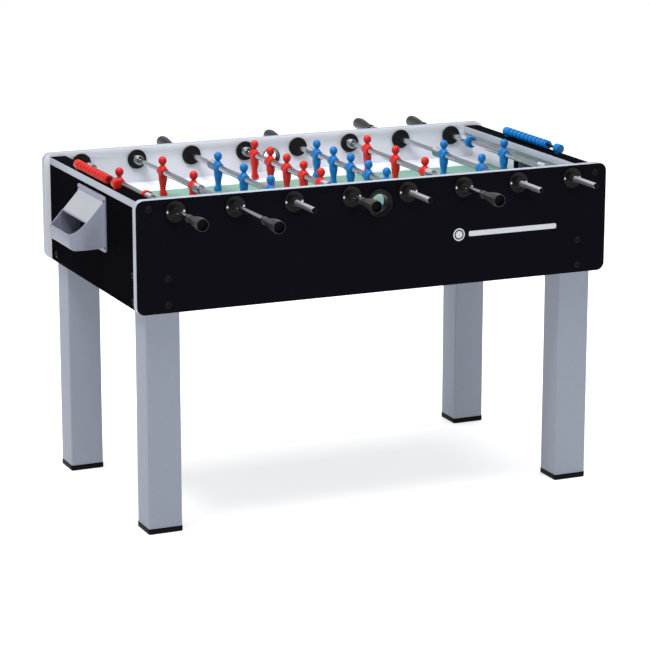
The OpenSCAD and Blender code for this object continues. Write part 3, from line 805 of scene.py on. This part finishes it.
def ball_cup(node, s):
    """A moulded shell with a bead round the tray's rim, and a grained sloping cover. The cover's top is
    painted lighter as painted light from above, and its underside black as painted shade.
    """
    bm = softened(node, 0.8 * MM, least_area=20 * MM * MM)
    top, rim_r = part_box(node)[1].z, 1.7 * MM

    def drop(x):
        """How far below the flange's top the rim lies, at a distance from the flange's face."""
        edge = [(48, 68), (62, 83), (76, 94), (90, 101)]
        for (x0, z0), (x1, z1) in zip(edge, edge[1:]):
            if x <= x1:
                return z0 + (z1 - z0) * (x - x0) / (x1 - x0)
        return edge[-1][1]

    # Half of the rim seen from above: its side curves in towards the front
    half = [(46.5, 96.5), (60.5, 94), (72.5, 88.5), (82.5, 81.5), (87, 77.5), (88.5, 73.5)]
    outline = eased(half + [(x, -y) for x, y in half[::-1]], 5)
    path = [Vector((s * (CUP_FACE + x * MM), y * MM, top - (drop(x) - 0.6) * MM)) for x, y in outline]
    rings = []
    for i, p in enumerate(path):
        ahead = (path[(i + 1) % len(path)] - path[i - 1]).normalized()
        across = ahead.cross(Vector((0, 0, 1))).normalized()
        up = across.cross(ahead)
        rings.append([p + (across * math.cos(TURN * j / 10) + up * math.sin(TURN * j / 10)) * rim_r
                      for j in range(10)])
    rim = bmesh.new()
    loops = [[rim.verts.new(p) for p in ring] for ring in rings]
    for a, b in zip(loops, loops[1:] + loops[:1]):
        ring_faces(rim, a, b)
    merge(bm, rim)

    def choose(face):
        middle_x = abs(face.calc_center_median().x) - END_OUT_X
        large = face.calc_area() > 2000 * MM * MM and middle_x < 60 * MM
        # Large faces under the cover, facing down and inwards, take the feet's black: painted shade under
        # the cover.
        if large and face.normal.z < -0.3 and face.normal.x * s < -0.3:
            return 2
        # Large faces on the cover's top, facing up and outwards, take the lighter grained grey: real grain,
        # plus painted light.
        return 1 if large and face.normal.z > 0.5 and face.normal.x * s > 0.5 else 0
    piece(node + "_shell", bm, node, [CUP_GREY, CUP_SLOPE_GRAIN_AND_PAINTED_LIGHT, FOOT_BLACK], choose)


def score_counter(side, s):
    """Ribbed beads on a steel bar between two round posts."""
    plastic = TEAM[s]
    rail, stack = f"{side}_score_rail", f"{side}_score_beads"
    lo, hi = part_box(rail)
    blo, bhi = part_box(stack)
    x, z = (blo.x + bhi.x) / 2, (blo.z + bhi.z) / 2
    post, foot_h = 24 * MM, z - lo.z
    bm = bmesh.new()
    tube(bm, move(x, 0, z) @ along_y(1), lo.y + 3 * MM, hi.y - 3 * MM, 4 * MM, 0, material=1)
    for y in (lo.y, hi.y - post):
        barrel = eased([(0, 0), (11.1 * MM, 0), (12.3 * MM, 1.2 * MM), (12.3 * MM, post - 1.2 * MM),
                        (11.1 * MM, post), (0, post)], 0.8 * MM, steps=2)
        lathe(bm, barrel, move(x, y, z) @ along_y(1))
        foot = rounded_rect(14 * MM, post - 4 * MM, 2 * MM, 4)
        prism(bm, foot, foot_h, move(x, y + post / 2, lo.z), 0.4 * MM)
    piece(f"{side}_counter_rail", bm, rail, [plastic, BOLT_BLACK])
    bm = bmesh.new()
    count = 10
    pitch = (bhi.y - blo.y + 0.2 * MM) / count
    length = pitch - 0.2 * MM
    end = length / MM
    bead = eased([(4.3, 0), (11.4, 0), (12.3, 0.9), (12.3, 4.4), (11.6, 5.4), (7.8, 6.8), (7.8, end - 6.8),
                  (11.6, end - 5.4), (12.3, end - 4.4), (12.3, end - 0.9), (11.4, end), (4.3, end)],
                 0.6, closed=True, steps=2)
    for i in range(count):
        lathe(bm, [(r * MM, h * MM) for r, h in bead], move(x, blo.y + i * pitch, z) @ along_y(1),
              segments=40, closed=True)
    piece(f"{side}_counter_beads", bm, stack, [plastic])


entries()
ball_cup("left_ball_cup", -1)
ball_cup("right_ball_cup", 1)
score_counter("left", -1)
score_counter("right", 1)


# ---- floor, light and camera ----

def light(name, at, aim, size, power, spread=180):
    data = bpy.data.lights.new(name, "AREA")
    data.shape = "RECTANGLE"
    data.size, data.size_y = size
    data.energy = power
    data.spread = math.radians(spread)
    obj = bpy.data.objects.new(name, data)
    bpy.context.scene.collection.objects.link(obj)
    obj.location = at
    obj.rotation_mode = "QUATERNION"
    obj.rotation_quaternion = (Vector(aim) - Vector(at)).to_track_quat("-Z", "Y")
    return obj


def studio():
    world = bpy.data.worlds.new("studio")
    bpy.context.scene.world = world
    world.use_nodes = True
    background = world.node_tree.nodes["Background"]
    background.inputs["Color"].default_value = (0.93, 0.96, 1, 1)
    background.inputs["Strength"].default_value = AMBIENT
    size = 30
    mesh = bpy.data.meshes.new("floor")
    corners = [(-size, -size, 0), (size, -size, 0), (size, size, 0), (-size, size, 0)]
    mesh.from_pydata(corners, [], [(0, 1, 2, 3)])
    mesh.materials.append(varied("pale_floor", srgb(246, 246, 248), 0.6, 20 * MM, bump=0.0, shade=0.005,
                                 Emission_Color=(1, 1, 1, 1), Emission_Strength=FLOOR_GLOW))
    floor = bpy.data.objects.new("floor", mesh)
    bpy.context.scene.collection.objects.link(floor)
    light("top", (0, 0.2, 4.4), (0, 0, 0), (5, 4), 170)
    light("key", (-1.3, -0.5, 2.8), (0.45, 0.1, 0.8), (0.8, 0.8), 10, spread=75)


def camera():
    data = bpy.data.cameras.new("camera")
    data.lens = CAMERA_LENS
    data.sensor_width = 36
    data.clip_end = 100
    obj = bpy.data.objects.new("camera", data)
    bpy.context.scene.collection.objects.link(obj)
    a, e, r = (math.radians(v) for v in (CAMERA_AZIMUTH, CAMERA_ELEVATION, CAMERA_ROLL))
    back = Vector((math.sin(a) * math.cos(e), -math.cos(a) * math.cos(e), math.sin(e)))
    level = Vector((math.cos(a), math.sin(a), 0))
    up = back.cross(level)
    right, tall = level * math.cos(r) + up * math.sin(r), up * math.cos(r) - level * math.sin(r)
    turn = Matrix((right, tall, back)).transposed().to_4x4()
    obj.matrix_world = Matrix.Translation(CAMERA_AT) @ turn
    bpy.context.scene.camera = obj


studio()
camera()
bpy.context.scene.view_settings.view_transform = "Standard"
